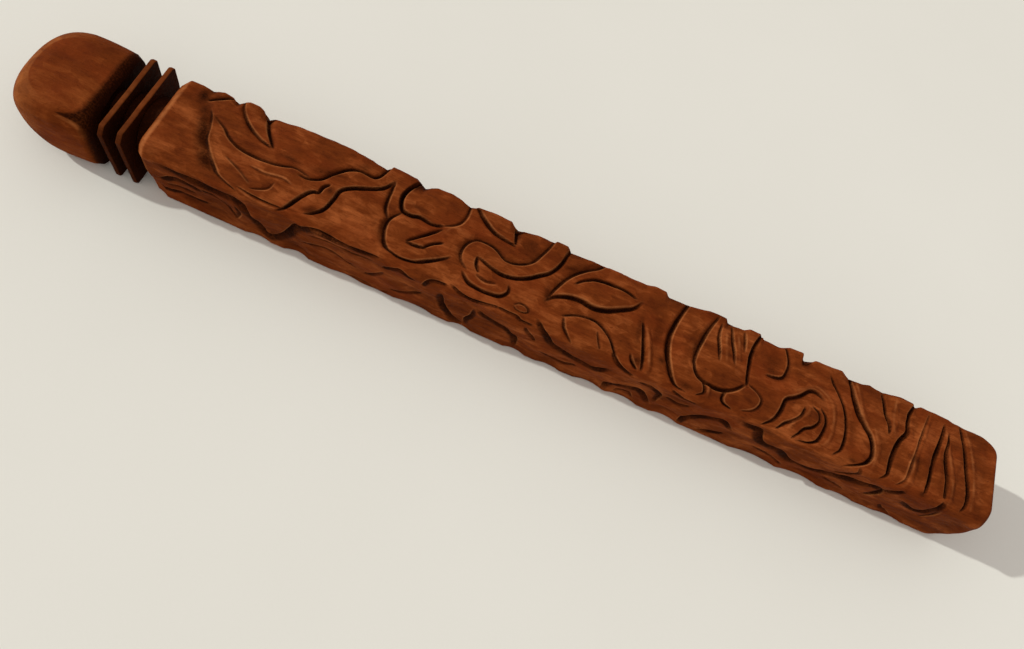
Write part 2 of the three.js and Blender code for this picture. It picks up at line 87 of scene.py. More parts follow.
# Each cut is (depth, run on its left, run on its right, points). Left and right are seen along the line, and
# a short run is a steep wall. A cut runs out to nothing at its ends.
TOP_CUTS = [
    # leaf at the shoulder
    (1.5, 0.6, 4.5, [(27, 9), (29, 6), (30.5, 2), (32, -3), (36, -8), (40, -12), (44, -15.5), (50, -18.5)]),
    (1.3, 2.1, 0.7, [(29.5, 7), (35, 4), (38, 1.5), (43, -0.7), (50, -1.5), (58, -0.8), (64, 1), (70, 0)]),
    (1.2, 0.7, 2.1, [(50, -16), (56, -17.3), (62, -17.6), (68, -17)]),
    (0.7, 1.1, 0.4, [(41, -6), (44, -7.2), (48, -9), (53, -12)]),
    (0.7, 0.6, 0.6, [(54, -14), (57, -12.5), (59.5, -11), (60.5, -8)]),
    (0.6, 0.6, 1.1, [(50, -5.5), (56, -6), (62, -5), (66, -6)]),
    # tongue laid over the back edge
    (2.1, 3.5, 0.4, [(46, 21), (46, 16), (48.5, 10.5), (53.5, 4.5)]),
    (1.4, 0.5, 2.1, [(35.5, 20), (37, 14.5), (42, 9.3), (48, 6), (53, 4.5)]),
    (1.6, 1.7, 0.6, [(24, 12), (28, 14.5), (34, 18.5)]),
    # deep fork below the hump
    (2.6, 0.7, 1.1, [(65.5, -19.5), (67.5, -17), (69, -13), (71, -8.5), (73.5, -5), (76.5, -4.2)]),
    (2.0, 0.8, 0.7, [(76, -4.5), (76.3, -1.5), (78, 0.6)]),
    (2.6, 0.7, 1.2, [(75, -14.5), (78, -12), (80.5, -9), (81.5, -4), (82, 0), (85, 3), (90, 5.5), (95, 8.5),
        (98, 13)]),
    (2.2, 2.2, 0.5, [(66, -1), (70, -1), (74, 1), (77, 5), (81, 9), (85, 10.6), (91, 10.8), (93.3, 15),
        (95, 20)]),
    (1.5, 0.6, 1.7, [(98, 13), (98.3, 9), (98.6, 5), (99.5, 1), (102, -2.5)]),
    # lobes
    (3.0, 0.8, 0.9, [(110.4, 22), (107.4, 18), (104.4, 13.5), (103, 10), (103.2, 7), (105, 3.6),
        (108.5, 2.8), (112, 3.6), (117, 3.0), (121, 4.4)]),
    (1.8, 0.6, 2.7, [(105.5, 2.5), (103, -1), (102.2, -4), (103, -8), (105, -12), (109, -15)]),
    (2.0, 0.9, 1.1, [(106, -13.2), (111, -15.2), (116, -14.5), (120, -12), (125, -8.5), (128, -6)]),
    (2.1, 1.5, 0.4, [(111.3, -7.7), (114, -5), (117, -2), (121.5, 3)]),
    (1.6, 0.6, 0.9, [(111.3, -7.9), (115, -7.6), (118.5, -6.8)]),
    (1.9, 1.1, 0.4, [(117.6, -7.3), (120, -4.5), (123.6, -2)]),
    (1.1, 1.5, 0.7, [(121, 4.4), (125, 7), (127, 11), (127, 17)]),
    # trapezoid block at the back
    (2.0, 0.6, 1.9, [(127.6, 20), (131, 16), (135, 13), (139, 10.8), (143, 10), (148, 9.5)]),
    (1.8, 3.5, 0.6, [(146.5, 21), (146, 16), (147.5, 10)]),
    # hooked band
    (1.7, 0.6, 3.5, [(161.5, 21), (160, 15), (158, 10), (156, 6), (152, 3), (147, 2), (142, 4.5), (138, 5.2),
        (134, 4.7), (131.5, 2), (130.7, -2), (132, -5.5), (135, -8)]),
    (2.5, 1.2, 0.7, [(168.5, 21), (167, 15), (166, 10), (163.5, 5), (160, 2), (157, -0.5), (153, -2.7),
        (148, -4), (143, -3.3), (137, -1.4)]),
    (2.2, 0.9, 1.1, [(134, -9.5), (137, -12), (141, -13), (146, -13), (150, -12), (152, -9.5),
        (151.4, -6.8)]),
    (1.7, 0.8, 0.8, [(136.8, -1.5), (137.4, -4.5), (139.4, -7.4)]),
    (1.0, 0.9, 0.9, [(139, -8.5), (143, -9.3), (147, -8.6)]),
    # small oval
    (1.0, 0.5, 0.4, [(155.8, -13.2), (157, -12), (159, -11.6), (161, -12.4), (161.3, -14), (159.6, -15.2),
        (157.2, -15), (155.9, -13.6)]),
    # leaf C
    (1.9, 0.6, 3.5, [(183, 19), (180, 15), (176, 12), (172, 8), (169, 3), (167, -2), (166, -6)]),
    (2.7, 1.2, 1.9, [(165.6, -6.5), (168, -3.6), (173, -1.2), (178, -0.5), (183, -1.0), (188, 0.3), (193, 3),
        (197, 5.5), (199.5, 9)]),
    (2.0, 1.2, 0.5, [(173.5, 4.5), (176, 7), (180, 9.6), (186, 10.6), (192, 10.8), (197, 9.5)]),
    # leaf D
    (1.6, 2.2, 0.5, [(173, -9.5), (175, -8.5), (178, -7), (182, -6), (186, -6), (190, -8), (193, -10.5),
        (195, -13.5), (198, -19.5)]),
    (1.3, 0.5, 1.5, [(174, -9.5), (175.5, -13), (177.5, -16.5), (180, -20)]),
    (1.0, 1.0, 0.5, [(187.3, -9.6), (188.6, -12.5), (190.3, -16.5)]),
    (1.9, 2.7, 0.7, [(202, 2), (203.5, -2), (205, -7), (206.2, -12), (207, -18)]),
    (1.7, 0.7, 1.0, [(201.5, -12), (203, -15.5), (205.5, -18.5)]),
    # first bow
    (2.4, 0.9, 2.2, [(217.5, 19), (215.5, 13), (214, 7), (213.5, 1), (214.5, -5), (216.5, -10),
        (218.5, -14.5), (221, -17.8), (225, -18.6)]),
    (1.2, 0.9, 0.6, [(229, -9), (231, -12), (231.2, -15), (229, -17.6)]),
    # tulip
    (1.6, 0.6, 2.4, [(229, 17), (227, 11), (225.6, 5), (224.8, 0), (224.7, -4), (226, -7)]),
    (1.9, 1.1, 0.9, [(224.8, -4.5), (226, -7.3), (229, -9.7), (235, -10.6), (239, -9.8), (242.5, -7.8),
        (245.5, -4.5)]),
    (2.5, 0.7, 1.2, [(246, -4.5), (245.4, 0), (245, 4), (244.8, 8), (245.4, 13), (247.5, 20)]),
    (1.3, 0.5, 1.0, [(231, 15), (231.3, 10), (232.5, 5), (233.4, 0)]),
    (1.3, 0.5, 1.0, [(235.3, 16), (236.6, 11), (238.3, 6), (239.6, 1.2)]),
    (0.9, 0.5, 0.9, [(240.5, 16), (241.5, 12), (242.2, 8)]),
    # small lump and scoop
    (1.7, 0.7, 0.9, [(239.5, -9.6), (238.5, -12.5), (239.5, -15.5), (243, -17)]),
    (1.0, 0.7, 0.7, [(247, -3.8), (251, -5), (253.4, -7.5), (251.5, -12), (246.5, -15.4)]),
    (1.5, 3.6, 0.6, [(257, 18), (259.8, 12.5), (260, 8.5), (258.5, 4.8), (252.5, 3.4)]),
    # eye
    (2.0, 0.9, 1.7, [(255.5, -18), (258, -14), (260, -11), (261.3, -7), (262, -3), (265, -0.8), (267.5, 1.4),
        (270, 4.2), (273, 5), (276.5, 3.4)]),
    (1.5, 0.6, 1.0, [(261, -16.5), (263, -12.5), (266, -10), (268.5, -7), (269.5, -3)]),
    (1.7, 0.5, 0.9, [(267.5, -18), (269.2, -14), (271, -11), (274, -9), (276, -6), (275.5, -3),
        (272.5, -1.4)]),
    (1.8, 0.6, 1.2, [(270, -17.6), (274, -16.3), (277, -13), (278.6, -8), (278.4, -3.5), (276, -0.6)]),
    (1.9, 1.7, 0.6, [(277, 14), (279.5, 10.5), (282.5, 7), (285, 3), (286.8, -2), (287.3, -7), (286.6, -12),
        (284, -17)]),
    (2.5, 0.9, 1.1, [(284.5, 20), (286.2, 14), (288, 9), (290.7, 4), (294, 0.6), (297, -2), (299, -6),
        (299, -10), (297, -13.5), (294, -17), (290, -20)]),
    # waves at the tail
    (2.0, 1.3, 0.7, [(298.6, 16), (299.6, 12.8), (300.6, 9), (303, 5.2), (304, 1.6)]),
    (2.5, 1.2, 0.9, [(313.5, 20), (311.5, 15.5), (310.2, 12), (310.4, 8.5), (310.8, 5), (308.6, 1),
        (307.2, -4), (306.6, -9), (305.7, -15), (304, -18.5)]),
    (1.0, 1.9, 0.7, [(318.5, 16), (317.2, 10), (316, 3), (314.4, -5), (313.6, -12), (310.5, -18)]),
    (2.4, 1.5, 0.8, [(325.6, 15), (325, 9), (323.8, 3), (322.4, -4), (322.2, -10), (321, -16.6)]),
    (1.9, 1.1, 0.6, [(327.8, 12), (327.6, 5), (328, -1), (329.2, -7), (329.2, -14)]),
    (2.1, 1.2, 0.7, [(332, 17), (334, 11), (335.6, 5), (337, -1), (338, -6), (338.2, -11), (336.6, -17)]),
]

# Front cuts are (weight, points). Their upper wall is steep, and their lower wall runs wide and is darkened
# with painted shade.
FRONT_CUTS = [
    # gouged start
    (1.9, [(19, 13.2), (20.5, 14.2), (26, 17.8), (32, 18.2), (36.5, 16.6)]),
    (2.1, [(18, 6.4), (20, 7), (26.5, 9), (30, 7.8), (37, 8.2)]),
    (0.9, [(22, 11.6), (27, 12.8), (33, 12.6)]),
    (1.2, [(36, 18), (41, 17.2), (46, 13), (49, 8)]),
    # long groove over the tongue
    (3.8, [(21, 23.9), (26.5, 23.8), (30, 23.8), (33.5, 23.5), (37.5, 23.2), (42, 23), (45.5, 23.3),
        (49.5, 23.6), (52.5, 21.2), (55, 17), (57.5, 13.5), (59, 9), (61, 6), (65, 7)]),
    (3.4, [(60.5, 6.4), (64, 7.2), (67.5, 11.8), (70.5, 17.8), (72.5, 21.8), (76.5, 25), (81.5, 27),
        (85.5, 27.2), (89.5, 26.8), (93.5, 26.5), (97.5, 26.8), (101, 27), (105.5, 27.4)]),
    (1.2, [(49.5, 17), (50.6, 12.5), (48.5, 7)]),
    (1.0, [(78, 20), (86, 21.6), (95, 20.6), (103, 22)]),
    (1.0, [(75, 12), (82, 15), (90, 14), (97, 9)]),
    (1.2, [(100, 8), (103.5, 11.5), (107.4, 17)]),
    (1.7, [(92, 0.6), (94, 1), (97.5, 2.5), (101.5, 2.8), (105.5, 0.6), (110.5, 3)]),
    (1.8, [(107, 20.5), (108.5, 22.2), (112.5, 25.5), (115.5, 25.5), (120, 23)]),
    (1.2, [(111, 6), (117, 9), (123, 13)]),
    (1.5, [(122.6, 21), (124, 26.2), (126.5, 28.5), (131, 29.2)]),
    # V and oval
    (2.8, [(130.6, 20.5), (131, 18.2), (132, 13.2), (135, 8.8), (137.5, 4.8), (141, 3)]),
    (1.7, [(141.5, 4), (141.5, 9.2), (143, 13.8), (143.2, 18.5)]),
    (1.7, [(133, 30), (134.5, 29.2), (137, 27.5), (140.5, 26.5), (143.5, 27.2), (147, 28.2), (151, 29.6)]),
    (2.6, [(145.5, 20), (147, 19), (149.5, 18), (153, 16.5), (156.5, 16), (159.5, 14), (162, 10.5),
        (163, 4)]),
    (1.4, [(151, 29.4), (155, 29.2), (158.5, 29), (160.5, 27.5), (165, 27.8)]),
    # branch that crosses over from the top
    (2.8, [(166.6, 31.5), (167.8, 30), (170.5, 26.2), (174.5, 20.5), (178, 18.2), (182, 17.2), (187, 16),
        (192, 16), (197.5, 19.4)]),
    (1.3, [(163, 23.5), (166.5, 19), (168.6, 16)]),
    (1.2, [(172, 11), (177, 8), (182, 7.6), (187, 10.5)]),
    (1.4, [(184.5, 1.4), (189, 1.2), (194, 1.4)]),
    (1.8, [(195.6, 32.5), (198.5, 28.5), (201.5, 25.8), (206, 23.4)]),
    # arches
    (2.6, [(200.4, 0.6), (200.5, 5.8), (202, 9), (205, 11.8), (209, 12.8), (212, 13.5), (215.5, 11.2),
        (219, 6.4)]),
    (2.0, [(209.5, 21), (214.5, 21), (217.5, 19.2), (220, 16), (220, 10)]),
    (1.2, [(205, 2), (207, 6), (210, 7.4), (212.6, 4)]),
    (1.3, [(221, 26.5), (226, 24.6), (231, 24.8)]),
    (2.5, [(233, 1.6), (233, 8.2), (236, 13.8), (240, 17.5), (245, 19.8), (249.5, 16.4)]),
    (1.8, [(239.5, 0.8), (245, 5.5), (249.5, 9)]),
    (1.2, [(222, 17), (227, 16), (231, 18.5)]),
    # long vine
    (3.6, [(249.5, 24.6), (252.5, 24.2), (257.5, 23.5), (261, 18.5), (266, 17), (271, 16.5), (276.5, 12.2),
        (279.5, 12.8), (284.5, 13), (289, 15.2), (293, 16.8), (297, 18.5), (302, 19.8), (306.5, 21.5),
        (311.5, 20.4)]),
    (2.2, [(309, 21), (310.8, 18.5), (310.5, 15), (308.6, 10.4)]),
    (2.1, [(308, 20.6), (310.5, 21.4), (313, 24), (314.6, 27.5)]),
    (2.4, [(319, 19.4), (321, 18.6), (325.5, 16.8), (328.2, 19), (328.6, 26), (329.5, 31.5)]),
    (1.4, [(290.5, 19), (294.5, 21.5), (296, 26), (295.6, 29.5)]),
    (1.2, [(262, 9.6), (270, 7.4), (277, 4.4)]),
    (1.0, [(292, 9.4), (298, 8.6), (303, 5.6)]),
    (1.3, [(318, 8), (321, 4.6), (327, 1)]),
    (1.2, [(331.4, 24), (332.6, 19), (332, 12)]),
]

# Back cuts are listed as the top ones are, but with heights, and with left and right as seen with the height
# up. The sheet runs downwards there, so the two runs swap.
BACK_CUTS = [
    (1.8, 0.9, 2.7, [(26, 27), (31, 18), (40, 12), (52, 11), (62, 16)]),
    (2.2, 1.1, 0.9, [(34, 30), (46, 24), (60, 21), (72, 12), (84, 9)]),
    (1.4, 0.7, 1.5, [(48, 5), (58, 7), (68, 5)]),
    (2.4, 0.9, 1.5, [(88, 3), (92, 12), (100, 19), (112, 20), (120, 14), (120, 6)]),
    (1.6, 0.7, 1.1, [(98, 5), (103, 12), (111, 13)]),
    (2.2, 1.1, 1.1, [(126, 25), (134, 18), (144, 20), (150, 27)]),
    (2.4, 0.9, 1.9, [(130, 4), (140, 10), (154, 12), (168, 8), (178, 2)]),
    (1.5, 0.7, 1.2, [(156, 26), (164, 19), (174, 18), (184, 24)]),
    (2.3, 1.1, 1.1, [(184, 4), (188, 14), (198, 20), (208, 16), (210, 8), (204, 4)]),
    (1.4, 0.7, 0.9, [(195, 6), (198, 12), (203, 12)]),
    (2.2, 0.9, 1.7, [(216, 27), (220, 17), (230, 11), (240, 13), (246, 21)]),
    (1.6, 0.9, 0.9, [(228, 25), (231, 18), (236, 18)]),
    (2.4, 1.1, 1.2, [(248, 6), (258, 14), (270, 15), (280, 10), (292, 10), (300, 17)]),
    (1.6, 0.7, 1.2, [(262, 25), (272, 22), (284, 23)]),
    (2.0, 0.9, 1.1, [(308, 3), (306, 12), (310, 20), (308, 28)]),
    (1.8, 0.9, 1.1, [(322, 4), (319, 14), (323, 26)]),
    (1.6, 0.9, 0.9, [(335, 6), (333, 15), (336, 24)]),
]

# Swellings, and hollows with a negative height: (height, half length, half width, turn, centre).
TOP_SWELLS = [
    (0.9, 25, 10, -3, (72, 15)), (0.5, 12, 7, 0, (90, -8)), (0.95, 10, 5.5, -10, (115, 11)),
    (0.8, 9, 7, -15, (111, -6)), (0.6, 9, 6, 0, (137, 17)), (-1.3, 6, 6, 0, (152.5, 11)),
    (0.7, 7, 3.5, 0, (143, -8)), (0.8, 13, 3.5, 0, (182, 5)), (0.7, 9, 5, -20, (184, -12)),
    (0.8, 8, 8, 0, (235, 1)), (0.6, 4, 10, 5, (220, 2)), (0.7, 6, 3.5, -10, (246, -10)),
    (-1.2, 5.5, 6.5, 10, (254.5, 9.5)), (0.4, 6, 8, 0, (268, -8)), (-0.9, 5, 4, 0, (24.5, 9)),
    (0.5, 7, 9, 0, (205, 12)), (-0.7, 4, 7, 15, (209.5, -2)), (0.5, 6, 10, 10, (294, 10)),
    (-0.6, 5, 7, 0, (302, -8)), (0.55, 2.4, 13, 14, (313.4, 0)), (0.5, 2.2, 12, 10, (319.6, -1)),
    (0.5, 1.5, 9, 4, (325.6, -3)), (0.6, 2.0, 12, -10, (332, -1)), (0.5, 2.4, 8, -30, (306, 8)),
    (0.6, 3.0, 9, 20, (281.6, 3)), (-0.5, 2.4, 10, 15, (290, -3)), (0.5, 3.0, 12, 0, (219.4, 2)),
    (-0.5, 2.4, 9, 0, (209.5, 4)), (0.6, 3.5, 9, -25, (264, 2)),
]

# Rounded ridges on the top face with crests painted lighter, part wear and part painted highlight, as
# (height, half width, points).
TOP_RIDGES = [
    (0.6, 1.8, [(288, 18), (289, 12), (291.5, 5.5), (295, 1)]),
    (0.6, 2.0, [(297.6, 2), (300, -2.8), (301, -7), (300, -12.2), (299, -16.5)]),
    (0.9, 2.0, [(304.4, 17), (304, 10), (304.6, 5.2), (306.4, 2)]),
    (0.9, 2.2, [(319, 17), (317.5, 11.8), (316, 3.2), (315, -2), (315, -7.8), (314, -14.2), (312.6, -18)]),
    (0.8, 1.6, [(326, 14), (327.6, 8.2), (329.5, 1.5), (330.5, -4.5), (331.5, -9.8), (331, -17)]),
    (0.5, 1.8, [(334, 17), (337, 10), (339, 3), (340.2, -5.5), (340, -14.5)]),
    (0.9, 1.5, [(203.6, 1), (206, -3.8), (207.8, -9.2), (209, -15.2), (208.5, -19)]),
    (0.6, 1.2, [(231, -9.4), (232.4, -11.5), (233, -16.6)]),
    (0.4, 1.4, [(31, 2), (31.6, -1), (34.5, -5.6), (39, -11), (43, -14.4), (48, -16.6)]),
    (0.4, 1.4, [(51, -17.2), (58, -19), (63.5, -19), (68, -18.2)]),
    (0.4, 2.0, [(128, 6), (124, 5.2), (121.5, 0.2)]),
    (0.5, 1.6, [(233.6, 13), (234.6, 7), (236, 1)]),
    (0.5, 1.4, [(238.2, 14), (239.6, 8), (241, 3)]),
    (0.6, 1.6, [(264, 1.6), (267.6, 3.8), (271, 6.6), (275, 6.4), (279.6, 2.6), (281.4, -4), (281, -11),
        (277, -17)]),
    (0.6, 1.4, [(264.6, -14), (267, -9.6), (270.4, -5.6), (271.4, -2)]),
]

# Painted shade: dark patches in the top face's recesses and notches, as (strength, half length, half width,
# turn in degrees, centre).
TOP_SHADE_PATCHES = [
    (0.9, 2.2, 3.0, 20, (22, 13)), (0.6, 1.6, 2.6, 15, (25, 7.4)), (0.8, 2.6, 9.5, 22, (28.8, 0)),
    (0.8, 3.0, 5.0, 35, (35, -10)), (0.6, 4.5, 1.3, -4, (61, 3.6)), (0.4, 6.0, 1.6, 10, (74, 4.4)),
    (0.4, 3.0, 2.0, 20, (86, 13)), (0.55, 3.0, 1.6, 20, (76, -12)), (0.65, 1.6, 1.8, 0, (79, -1.6)),
    (0.5, 1.4, 5.0, 0, (101.4, -5)), (0.35, 5.0, 1.4, -10, (110, 6.8)), (0.9, 1.6, 4.0, -28, (106.6, 15.5)),
    (0.4, 3.6, 2.6, -30, (153.5, 13)), (0.5, 1.5, 4.6, 10, (165.2, -3.4)), (0.4, 4.5, 1.6, 35, (171, 11)),
    (0.6, 1.5, 1.8, 0, (213, -9.2)), (0.75, 2.0, 2.6, 10, (204.4, -14)), (0.45, 1.3, 7.0, 4, (201.6, -1)),
    (0.6, 3.4, 1.8, 0, (224, -15.6)), (0.6, 1.3, 3.4, 10, (223.6, 0.4)), (0.4, 1.4, 3.0, 10, (245.4, 10)),
    (0.55, 3.4, 1.3, 5, (254.6, 5.8)), (0.35, 3.4, 2.2, 0, (316, -4)), (0.7, 1.5, 1.8, 0, (320.6, -16.6)),
    (0.6, 2.0, 1.4, 0, (292, -15.4)),
]

# The line of the back top edge: how far it stands in from the stick's side, at distances along the stick.
BACK_EDGE = [
    (12.5, 2.0), (15, 1.0), (20, 1.2), (24, 2.4), (25.5, 1.2), (28, 0.4), (31.5, 0.8), (34, 3.0),
    (35.6, 0.2), (38, -0.6), (41.4, -0.5), (43.6, 0.6), (45.6, 3.8), (49, 2.0), (58, 0.5), (70, 0.0),
    (78, -0.2), (87, 0.8), (93, 2.4), (94.8, -0.4), (98, -0.5), (104.4, 0.0), (107, 1.2), (108.6, 4.0),
    (110.6, 1.2), (113, 0.1), (119, -0.3), (123, 0.4), (127, 2.0), (129.5, 0.2), (135, -0.2), (143, 0.0),
    (145.5, 2.6), (148, 2.4), (154, 0.8), (159, 0.8), (161.5, -0.4), (166, -0.4), (168.6, 2.0), (176, 1.2),
    (188, 0.8), (199, 0.8), (202, -0.2), (207, 0.0), (208.8, 2.2), (214, 1.8), (220, 1.0), (225, -0.2),
    (232, -0.2), (233.4, 1.8), (240, 1.2), (242, -0.2), (247, -0.2), (248.4, 1.6), (255, 2.0), (259, -0.2),
    (264.6, -0.2), (265.6, 4.4), (267, 4.8), (270, 0.6), (281, -0.2), (284.6, 1.8), (287, 2.2), (293, 0.6),
    (299, 1.2), (306, -0.1), (311.6, 0.0), (313, 1.4), (315, 0.0), (327, 0.3), (333, 0.8), (348, 0.8),
]

# Scallops along the bottom front edge as (along, half length, depth).
FOOT_SCALLOPS = [
    (14, 6, 2.0), (57, 5, 0.8), (72.5, 5, 1.2), (93, 6, 0.5), (121, 8, 0.9), (140.5, 4.5, 1.0),
    (163.5, 4.5, 1.0), (178, 5, 0.7), (195, 6, 1.1), (209.5, 6.5, 1.2), (227.5, 6, 1.1), (266, 10, 1.0),
    (286, 9, 1.1), (305, 6, 0.8), (326, 6, 0.7),
]

# ---- depth map

STEP = 0.3
LIGHT_EDGE = 0.36
CREST = 0.55
# Walls with a longer run than this are hollowed by the power below.
LONG_RUN = 1.4
HOLLOW = 1.7
# How far the stain and painted shade spread down the gentle wall, as a multiple of their width in the
# bottom.
TOP_SPREAD = 1.35
BACK_SPREAD = 1.5
BACK_WIDEN = 1.2
# The run of a front cut's upper wall, and per unit of weight its depth and its lower wall's run. The last is
# the share of the lower wall darkened with painted shade.
FRONT_UPPER_RUN = 0.6
FRONT_DEPTH = 0.68
FRONT_LOWER_RUN = 1.2
FRONT_SHADED_SHARE = 0.9
# The ground lies this far below the stock, and nothing stands above the stock by more than the crown.
GROUND = 0.7
CROWN = 0.3
BACK_EDGE_REACH = 7.0
PLAIN_LENGTH = 6.0
TOOL_STROKES = 3400
STROKE_DEPTH = 0.26


def unit(value):
    """The value held between 0 and 1."""
    return np.clip(value, 0, 1)


def smooth_line(points, spacing=0.8):
    """Points along a Catmull-Rom curve through the given ones."""
    p = np.array(points, float)
    p = np.vstack([2 * p[0] - p[1], p, 2 * p[-1] - p[-2]])
    out = []
    for a, b, c, d in zip(p[:-3], p[1:-2], p[2:-1], p[3:]):
        count = max(2, int(np.linalg.norm(c - b) / spacing))
        t = np.arange(count)[:, None] / count
        out.append(0.5 * (2 * b + (c - a) * t + (2 * a - 5 * b + 4 * c - d) * t**2
                          + (3 * b - a - 3 * c + d) * t**3))
    out.append(p[-2][None])
    return np.vstack(out)


def nearest_on_line(x, s, line):
    """For each point, its signed distance to the line (positive on the left) and its share of the length."""
    a, b = line[:-1], line[1:]
    ab = b - a
    length2 = np.maximum((ab**2).sum(1), 1e-9)
    px = x[:, None] - a[None, :, 0]
    ps = s[:, None] - a[None, :, 1]
    t = unit((px * ab[:, 0] + ps * ab[:, 1]) / length2)
    dx = px - t * ab[:, 0]
    ds = ps - t * ab[:, 1]
    d2 = dx * dx + ds * ds
    best = d2.argmin(1)
    rows = np.arange(len(x))
    side = np.sign(ab[best, 0] * ps[rows, best] - ab[best, 1] * px[rows, best])
    travelled = np.concatenate([[0], np.cumsum(np.sqrt(length2))])
    share = (travelled[best] + t[rows, best] * np.sqrt(length2[best])) / travelled[-1]
    return np.sqrt(d2[rows, best]) * np.where(side < 0, -1, 1), share


def windowed(x, s, low, high):
    """The grid rows and columns inside a box of the sheet."""
    i0, i1 = np.searchsorted(x, [low[0], high[0]])
    j0, j1 = np.searchsorted(s, [low[1], high[1]])
    return slice(i0, i1), slice(j0, j1)


def near_line(x, s, points, reach):
    """The sheet within reach of a line, the distances there and how full the line is along it."""
    line = smooth_line(points)
    window = windowed(x, s, line.min(0) - reach, line.max(0) + reach)
    gx, gs = np.meshgrid(x[window[0]], s[window[1]], indexing="ij")
    distance, share = nearest_on_line(gx.ravel(), gs.ravel(), line)
    share = share.reshape(gx.shape)
    fade = np.sqrt(unit(np.sin(np.pi * np.clip(share, 0.004, 0.996)))) ** 0.8
    return window, distance.reshape(gx.shape), share * len(line), fade


def ridge(ground, rim_map, x, s, height, half_width, points):
    """Raises a rounded ridge along a line and marks its crest, lighter as wear and painted highlight."""
    window, distance, travelled, fade = near_line(x, s, points, half_width)
    ground[window] -= height * fade * unit(1 - (distance / half_width) ** 2)
    crest = unit(1.2 - np.abs(distance) / CREST) * (0.35 + 0.2 * np.sin(travelled * 0.5)) * fade
    rim_map[window] = np.maximum(rim_map[window], crest)


def stain_and_shade_width(depth):
    """Half width of the stain and painted shade in the bottom of a cut."""
    return 0.26 + 0.21 * depth


def cut(maps, x, s, depth, left, right, spread, points):
    """Deepens the map along one line. Marks the dark of the cut, part stain and part painted shade, which
    spreads down the gentle wall, and the top edge of the steep wall, painted lighter as wear and painted
    highlight."""
    depth_map, groove_stain_and_shade_map, rim_map = maps
    window, distance, travelled, fade = near_line(x, s, points, max(left, right) + 0.8 + spread)
    taper = 0.35 + 0.65 * fade
    run = np.where(distance > 0, left, right)
    wall = unit(1 - np.abs(distance) / (run * taper))
    shape = depth * fade * np.where(run > LONG_RUN, wall**HOLLOW, wall)
    depth_map[window] = np.maximum(depth_map[window], shape)
    uneven = 0.84 + 0.16 * np.sin(travelled * 0.45 + rng.uniform(0, 6.3))
    steep_left = left < right
    # The cut's dark: stain in its bottom and painted shade down its gentle wall.
    thick = stain_and_shade_width(depth) * (0.4 + 0.6 * fade)
    on_steep = (distance > 0) == steep_left
    thick = np.where(on_steep, np.minimum(thick, min(left, right)), thick * spread)
    strength = min(1.0, 0.28 + 0.45 * depth + 0.1 * (spread - TOP_SPREAD))
    groove_stain_and_shade = unit((thick - np.abs(distance)) / (0.4 * thick) + 0.5)
    groove_stain_and_shade *= strength * uneven * unit(fade * 2)
    groove_stain_and_shade_map[window] = np.maximum(groove_stain_and_shade_map[window], groove_stain_and_shade)
    # The steep wall's top edge is painted lighter: part wear, part painted highlight.
    from_top = np.abs(distance - (left if steep_left else -right) * taper)
    rim = unit(1.25 - from_top / LIGHT_EDGE) * (0.45 + 0.55 * uneven) * fade
    rim_map[window] = np.maximum(rim_map[window], rim)


def all_cuts():
    """Every cut as (depth, left run, right run, spread of the stain and painted shade, points on the sheet).
    """
    for depth, left, right, points in TOP_CUTS:
        yield depth, left, right, TOP_SPREAD, [top(*p) for p in points]
    for weight, points in FRONT_CUTS:
        depth, lower_run = FRONT_DEPTH * weight, FRONT_LOWER_RUN * weight
        # A front cut's lower wall gets painted shade over this share of its run.
        spread = FRONT_SHADED_SHARE * lower_run / stain_and_shade_width(depth)
        yield depth, FRONT_UPPER_RUN, lower_run, spread, [front(*p) for p in points]
    for depth, left, right, points in BACK_CUTS:
        yield depth, right * BACK_WIDEN, left * BACK_WIDEN, BACK_SPREAD, [back(*p) for p in points]


def oval(x, s, centre, reach, turn, half_length, half_width):
    """The part of the sheet round a centre, and how far its points lie along and across a turned oval."""
    window = windowed(x, s, np.array(centre) - reach, np.array(centre) + reach)
    gx, gs = np.meshgrid(x[window[0]] - centre[0], s[window[1]] - centre[1], indexing="ij")
    c, n = math.cos(turn), math.sin(turn)
    return window, (gx * c + gs * n) / half_length, (gs * c - gx * n) / half_width


def swell(depth_map, x, s, height, half_length, half_width, turn, centre):
    """Raises (or hollows) the map in a smooth oval."""
    reach = max(half_length, half_width) * 1.6
    window, u, v = oval(x, s, centre, reach, math.radians(turn), half_length, half_width)
    depth_map[window] -= height * np.exp(-1.4 * (u * u + v * v) ** 1.3)


def blurred(grid, cells, passes=3):
    """A box blur. Three passes of it are close to a Gaussian."""
    out = grid
    for _ in range(passes):
        for axis in (0, 1):
            pad = [(0, 0), (0, 0)]
            pad[axis] = (cells, cells)
            wide = np.cumsum(np.pad(out, pad, mode="edge"), axis=axis)
            zero = np.zeros_like(np.take(wide, [0], axis=axis))
            wide = np.concatenate([zero, wide], axis=axis)
            n = out.shape[axis]
            upper = np.take(wide, range(2 * cells + 1, n + 2 * cells + 1), axis=axis)
            lower = np.take(wide, range(0, n), axis=axis)
            out = (upper - lower) / (2 * cells + 1)
    return out


def tool_marks(x, s, count, depth):
    """Shallow overlapping gouge strokes, nearly all along the grain."""
    marks = np.zeros((len(x), len(s)))
    for _ in range(count):
        centre = (rng.uniform(x[0], x[-1]), rng.uniform(s[0], s[-1]))
        half_length = rng.uniform(2.5, 6.0)
        half_width = rng.uniform(0.9, 2.2)
        reach = np.array((half_length + 1, half_length * 0.7 + half_width))
        window, u, v = oval(x, s, centre, reach, rng.normal(0, 0.35), half_length, half_width)
        shape = depth * rng.uniform(0.5, 1.0) * unit(1 - u * u - v * v)
        marks[window] = np.maximum(marks[window], shape)
    return marks


